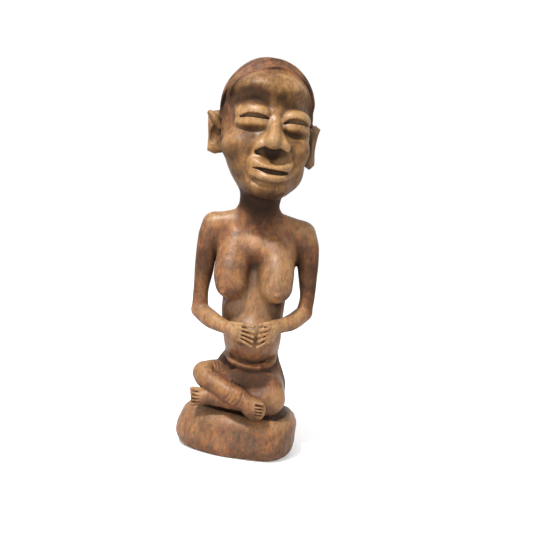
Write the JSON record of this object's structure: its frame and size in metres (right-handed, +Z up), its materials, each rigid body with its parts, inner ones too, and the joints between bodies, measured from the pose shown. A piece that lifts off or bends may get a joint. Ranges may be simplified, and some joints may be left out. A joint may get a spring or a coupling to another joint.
{
  "type": "fertility doll",
  "caption": "Carved hardwood female figure with a large head, seated cross-legged on a low rounded pedestal with both hands on its belly.",
  "frame": {"origin": "middle of the pedestal's flat underside, where the figure rests", "axes": "+Z up along the figure's height, -Y the side the figure faces, +X towards the figure's own left hand"},
  "size_m": [0.13, 0.1167, 0.4],
  "materials": {
    "body_wood": "satin, oiled and handled, reddish brown with grey-brown mottling",
    "head_wood": "satin, oiled and handled, golden brown on the high places",
    "hair_wood": "satin, oiled, darker brown",
    "pedestal_wood": "satin to dull, tooled, reddish brown"
  },
  "bodies": {
    "root": {"belly": "body_wood", "chest": "body_wood", "hair_cap": "hair_wood", "head": "head_wood", "hips": "body_wood", "left_breast": "body_wood", "left_ear": "head_wood", "left_eyelids": "head_wood", "left_foot": "body_wood", "left_forearm": "body_wood", "left_hand": "body_wood", "left_shin": "body_wood", "left_thigh": "body_wood", "left_upper_arm": "body_wood", "lips": "head_wood", "neck": "body_wood", "nose": "head_wood", "pedestal": "pedestal_wood", "right_breast": "body_wood", "right_ear": "head_wood", "right_eyelids": "head_wood", "right_foot": "body_wood", "right_forearm": "body_wood", "right_hand": "body_wood", "right_shin": "body_wood", "right_thigh": "body_wood", "right_upper_arm": "body_wood", "waist_roll": "body_wood"}
  },
  "joints": []
}
